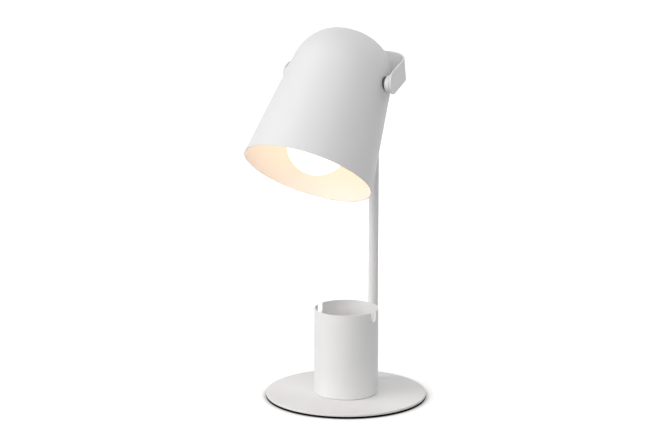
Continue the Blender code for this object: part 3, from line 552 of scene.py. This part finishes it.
def shade_curve(offset):
    """Return the shade's outer curve, mouth to crown, moved out square to itself by an offset.

    The crown is round, but flatter on top and a little fuller at its shoulders than a ball.
    """
    cone_end_radius = SHADE_MOUTH_RADIUS - SHADE_CONE_LENGTH * math.tan(SHADE_TAPER)
    crown_radius = cone_end_radius / math.cos(SHADE_TAPER)
    crown_centre = SHADE_CONE_LENGTH - crown_radius * math.sin(SHADE_TAPER)
    curve = [Vector((SHADE_MOUTH_RADIUS + offset / math.cos(SHADE_TAPER), 0))]
    for step in range(CROWN_STEPS):
        share = step / CROWN_STEPS
        angle = SHADE_TAPER + (math.pi / 2 - SHADE_TAPER) * share
        drop = CROWN_DROP * share * share * (3 - 2 * share)
        reach = crown_radius + offset + CROWN_SHOULDER * math.sin(math.pi * share) ** 2 - drop
        curve.append(Vector((reach * math.cos(angle), crown_centre + reach * math.sin(angle))))
    return curve + [Vector((0, crown_centre + crown_radius + offset - CROWN_DROP))]


def shade_plug(offset):
    """Return the space that the shade encloses, moved out by an offset."""
    return placed(turned(shade_curve(offset) + [Vector((0, 0))], ROUND_SIDES), mouth_frame)


def build_shade(coat):
    shade = turned(shade_curve(0) + list(reversed(shade_curve(-SHADE_WALL))), ROUND_SIDES)
    round_edges(shade, SHADE_RIM_ROUND, between(-OVERRUN, SHADE_WALL))
    shade = placed(shade, mouth_frame)
    reach = SHADE_MOUTH_RADIUS
    across = rod(M4_RADIUS + BORE_GAP, -reach, reach)
    shade = cut(shade, placed(across, tilt_frame @ Matrix.Rotation(math.pi / 2, 4, "Y")))
    backward = rod(SHADE_HOLE_RADIUS, 0, reach)
    shade = cut(shade, placed(backward, tilt_frame @ Matrix.Rotation(-math.pi / 2, 4, "X")))
    add_piece("shade_shell", shade, coat, "shade_head", "shade")


def build_washers(rubber):
    for side, name in ((-1, "left"), (1, "right")):
        washer = tube(
            WASHER_RADIUS, M4_RADIUS + BORE_GAP, WASHER_FACE - WASHER_RADIUS, WASHER_FACE, POLE_SIDES)
        washer = placed(washer, tilt_frame @ Matrix.Rotation(side * math.pi / 2, 4, "Y"))
        washer = cut(washer, shade_plug(SEAT_GAP))
        add_piece("rubber_washer_" + name, washer, rubber, "shade_head", "friction_washer_" + name)


# Bulb

def build_bulb(opal, plastic):
    joint_angle = math.asin((BULB_JOINT_RISE - BULB_CENTRE_RISE) / BULB_RADIUS)
    joint_radius = BULB_RADIUS * math.cos(joint_angle)

    def globe_curve(radius):
        curve = [Vector((0, BULB_CENTRE_RISE - radius))]
        for step in range(1, GLOBE_STEPS):
            angle = -math.pi / 2 + (joint_angle + math.pi / 2) * step / GLOBE_STEPS
            curve.append(Vector((radius * math.cos(angle), BULB_CENTRE_RISE + radius * math.sin(angle))))
        return curve + [Vector((radius * math.cos(joint_angle), BULB_JOINT_RISE))]

    def neck_curve(offset):
        low = BULB_JOINT_RISE + SEAT_GAP
        curve = []
        for step in range(NECK_STEPS + 1):
            share = step / NECK_STEPS
            radius = BULB_NECK_RADIUS + (joint_radius - BULB_NECK_RADIUS) * (1 - share) ** 2 + offset
            curve.append(Vector((radius, low + (BULB_BODY_TOP_RISE - low) * share)))
        return curve

    globe_wall = globe_curve(BULB_RADIUS) + list(reversed(globe_curve(BULB_RADIUS - BULB_SHELL)))
    globe = turned(globe_wall, BULB_SIDES)
    add_piece("bulb_dome", placed(globe, mouth_frame), opal, "shade_head", "bulb_globe")
    neck_wall = neck_curve(0) + list(reversed(neck_curve(-BULB_BODY_WALL)))
    neck = turned(neck_wall, BULB_SIDES)
    add_piece("bulb_neck", placed(neck, mouth_frame), plastic, "shade_head", "bulb_body")


# Materials


def node(tree, kind, **settings):
    item = tree.nodes.new(kind)
    for name, value in settings.items():
        setattr(item, name, value)
    return item


def make_grain_group():
    """Return the group that gives every finish its patches of tone and roughness and its fine grain and pits.
    """
    group = bpy.data.node_groups.new("patches_and_grain", "ShaderNodeTree")
    sockets = group.interface
    for name, kind in (
            ("Place", "NodeSocketVector"), ("Pale", "NodeSocketColor"), ("Deep", "NodeSocketColor"),
            ("Patch scale", "NodeSocketFloat"), ("Grain scale", "NodeSocketFloat"),
            ("Grain depth", "NodeSocketFloat"), ("Smoothest", "NodeSocketFloat"),
            ("Roughest", "NodeSocketFloat")):
        sockets.new_socket(name=name, in_out="INPUT", socket_type=kind)
    for name, kind in (
            ("Colour", "NodeSocketColor"), ("Roughness", "NodeSocketFloat"),
            ("Normal", "NodeSocketVector")):
        sockets.new_socket(name=name, in_out="OUTPUT", socket_type=kind)
    given = node(group, "NodeGroupInput")
    result = node(group, "NodeGroupOutput")
    link = group.links.new

    patches = node(group, "ShaderNodeTexNoise")
    patches.inputs["Detail"].default_value = PATCH_DETAIL
    patches.inputs["Roughness"].default_value = PATCH_ROUGHNESS
    link(given.outputs["Place"], patches.inputs["Vector"])
    link(given.outputs["Patch scale"], patches.inputs["Scale"])
    tone = node(group, "ShaderNodeMix", data_type="RGBA")
    link(patches.outputs["Fac"], tone.inputs["Factor"])
    first_colour, second_colour = [socket for socket in tone.inputs if socket.type == "RGBA"]
    mixed_colour = [socket for socket in tone.outputs if socket.type == "RGBA"][0]
    link(given.outputs["Pale"], first_colour)
    link(given.outputs["Deep"], second_colour)

    grain = node(group, "ShaderNodeTexNoise")
    grain.inputs["Detail"].default_value = GRAIN_DETAIL
    link(given.outputs["Place"], grain.inputs["Vector"])
    link(given.outputs["Grain scale"], grain.inputs["Scale"])
    pits = node(group, "ShaderNodeTexVoronoi")
    link(given.outputs["Place"], pits.inputs["Vector"])
    link(given.outputs["Grain scale"], pits.inputs["Scale"])
    relief = node(group, "ShaderNodeMath", operation="MULTIPLY_ADD")
    relief.inputs[1].default_value = PIT_SHARE
    link(pits.outputs["Distance"], relief.inputs[0])
    link(grain.outputs["Fac"], relief.inputs[2])
    bump = node(group, "ShaderNodeBump")
    bump.inputs["Strength"].default_value = 1
    link(given.outputs["Grain depth"], bump.inputs["Distance"])
    link(relief.outputs[0], bump.inputs["Height"])

    sheen = node(group, "ShaderNodeMapRange")
    sheen.inputs["From Min"].default_value, sheen.inputs["From Max"].default_value = PATCH_SPREAD
    link(patches.outputs["Fac"], sheen.inputs["Value"])
    link(given.outputs["Smoothest"], sheen.inputs["To Min"])
    link(given.outputs["Roughest"], sheen.inputs["To Max"])

    link(mixed_colour, result.inputs["Colour"])
    link(sheen.outputs["Result"], result.inputs["Roughness"])
    link(bump.outputs["Normal"], result.inputs["Normal"])
    return group


def shader_of(material):
    return material.node_tree.nodes["Principled BSDF"]


def make_finish(
        name, slot, pale, deep, patch_scale, grain_scale, grain_depth, roughness, metallic):
    """Make a material whose colour, roughness and relief vary over the piece."""
    material = bpy.data.materials.new(name)
    material.use_nodes = True
    tree = material.node_tree
    shader = shader_of(material)
    shader.inputs["Metallic"].default_value = metallic
    place = node(tree, "ShaderNodeTexCoord")
    grain = node(tree, "ShaderNodeGroup", node_tree=grain_group)
    grain.inputs["Pale"].default_value = (*pale, 1)
    grain.inputs["Deep"].default_value = (*deep, 1)
    grain.inputs["Patch scale"].default_value = patch_scale
    grain.inputs["Grain scale"].default_value = grain_scale
    grain.inputs["Grain depth"].default_value = grain_depth
    grain.inputs["Smoothest"].default_value, grain.inputs["Roughest"].default_value = roughness
    tree.links.new(place.outputs["Object"], grain.inputs["Place"])
    tree.links.new(grain.outputs["Colour"], shader.inputs["Base Color"])
    tree.links.new(grain.outputs["Roughness"], shader.inputs["Roughness"])
    tree.links.new(grain.outputs["Normal"], shader.inputs["Normal"])
    return material


def light_up(material, colour, strength):
    """Make a bulb's globe glow."""
    shader = shader_of(material)
    shader.inputs["Emission Color"].default_value = (*colour, 1)
    shader.inputs["Emission Strength"].default_value = strength


def dress(names, material):
    """Give CAD nodes that stay shown their finish."""
    for name in names:
        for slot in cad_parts[name].material_slots:
            slot.material = material


# Stage

def build_stage():
    """Lay a pale floor that looks white to the camera, its glow dimmed by a painted contact shadow where the
    lamp meets it.
    """
    floor_shape = bmesh.new()
    bmesh.ops.create_circle(floor_shape, cap_ends=True, segments=FLOOR_SIDES, radius=FLOOR_RADIUS)
    floor_mesh = mesh_of("floor", floor_shape)
    floor = new_object("floor", floor_mesh)
    paper = bpy.data.materials.new("white_paper")
    paper.use_nodes = True
    tree = paper.node_tree
    shader = shader_of(paper)
    shader.inputs["Base Color"].default_value = FLOOR_COLOUR
    shader.inputs["Roughness"].default_value = FLOOR_ROUGHNESS
    shader.inputs["Specular IOR Level"].default_value = 0
    shader.inputs["Emission Color"].default_value = WHITE
    place = node(tree, "ShaderNodeTexCoord")
    reach = node(tree, "ShaderNodeVectorMath", operation="LENGTH")
    glow = node(tree, "ShaderNodeMapRange")
    glow.inputs["From Min"].default_value, glow.inputs["From Max"].default_value = FLOOR_GLOW_REACH
    glow.inputs["To Min"].default_value, glow.inputs["To Max"].default_value = FLOOR_GLOW
    # painted contact shadow: ambient occlusion dims the glow where the lamp meets the floor
    contact_occlusion = node(tree, "ShaderNodeAmbientOcclusion", samples=CONTACT_SHADOW_SAMPLES)
    contact_occlusion.inputs["Distance"].default_value = CONTACT_SHADOW_REACH
    shadow = node(tree, "ShaderNodeMath", operation="POWER")
    shadow.inputs[1].default_value = CONTACT_SHADOW_STRENGTH
    shaded_glow = node(tree, "ShaderNodeMath", operation="MULTIPLY")
    strength = node(tree, "ShaderNodeMath", operation="MULTIPLY")
    tree.links.new(place.outputs["Object"], reach.inputs[0])
    tree.links.new(reach.outputs["Value"], glow.inputs["Value"])
    tree.links.new(contact_occlusion.outputs["AO"], shadow.inputs[0])
    tree.links.new(glow.outputs["Result"], shaded_glow.inputs[0])
    tree.links.new(shadow.outputs[0], shaded_glow.inputs[1])
    tree.links.new(seen_directly(tree), strength.inputs[0])
    tree.links.new(shaded_glow.outputs[0], strength.inputs[1])
    tree.links.new(strength.outputs[0], shader.inputs["Emission Strength"])
    floor_mesh.materials.append(paper)


def seen_directly(tree):
    """Return 1 for camera, glossy and transmission rays and 0 for others."""
    path = node(tree, "ShaderNodeLightPath")
    first = node(tree, "ShaderNodeMath", operation="MAXIMUM")
    second = node(tree, "ShaderNodeMath", operation="MAXIMUM")
    tree.links.new(path.outputs["Is Camera Ray"], first.inputs[0])
    tree.links.new(path.outputs["Is Glossy Ray"], first.inputs[1])
    tree.links.new(first.outputs[0], second.inputs[0])
    tree.links.new(path.outputs["Is Transmission Ray"], second.inputs[1])
    return second.outputs[0]


def build_world():
    """Surround the lamp with white that the camera and reflections see and that lights it faintly."""
    world = bpy.data.worlds.new("studio")
    bpy.context.scene.world = world
    world.use_nodes = True
    tree = world.node_tree
    background = tree.nodes["Background"]
    background.inputs["Color"].default_value = WHITE
    strength = node(tree, "ShaderNodeMapRange")
    strength.inputs["To Min"].default_value = FILL_LEVEL
    strength.inputs["To Max"].default_value = 1
    tree.links.new(seen_directly(tree), strength.inputs["Value"])
    tree.links.new(strength.outputs["Result"], background.inputs["Strength"])


def add_softbox(name, azimuth, elevation, power):
    """Hang a softbox at this azimuth, 0 in front and 90 at the right, and this elevation, both in degrees."""
    turn = math.radians(azimuth)
    rise = math.radians(elevation)
    level = math.cos(rise)
    out = Vector((math.sin(turn) * level, -math.cos(turn) * level, math.sin(rise)))
    lamp = bpy.data.lights.new(name, "AREA")
    lamp.shape = "RECTANGLE"
    lamp.size, lamp.size_y = SOFTBOX_SIZE
    lamp.energy = power
    softbox = new_object(name, lamp)
    softbox.location = LIGHT_TARGET + out * LIGHT_DISTANCE
    softbox.rotation_euler = out.to_track_quat("Z", "Y").to_euler()


def build_camera():
    camera_data = bpy.data.cameras.new("camera")
    camera_data.sensor_fit = "HORIZONTAL"
    camera_data.sensor_width = CAMERA_SENSOR
    camera_data.lens = CAMERA_LENS
    camera_data.clip_end = CAMERA_REACH
    camera = new_object("camera", camera_data)
    camera.location = CAMERA_PLACE
    camera.rotation_euler = CAMERA_TURN
    bpy.context.scene.camera = camera


build_camera()
build_world()
build_stage()
for softbox in SOFTBOXES:
    add_softbox(*softbox)

grain_group = make_grain_group()
finishes = {settings[0]: make_finish(*settings) for settings in FINISHES}
shader_of(finishes["pad_foam"]).inputs["Specular IOR Level"].default_value = FOAM_SPECULAR
light_up(finishes["globe_opal"], BULB_GLOW_COLOUR, BULB_GLOW)

build_base(finishes["powder_coat"], finishes["pad_foam"])
build_cup(finishes["powder_coat"])
build_pole(finishes["powder_coat"], finishes["washer_nylon"])
build_yoke(finishes["powder_coat"])
build_bosses(finishes["powder_coat"])
# the shade wears the darker copy of the powder coat, painted shade
build_shade(finishes["lampshade_coat_painted_darker"])
build_washers(finishes["washer_rubber"])
build_bulb(finishes["globe_opal"], finishes["neck_plastic"])
for finish, names in KEPT_NODES.items():
    dress(names, finishes[finish])

bpy.context.scene.view_settings.view_transform = "Standard"
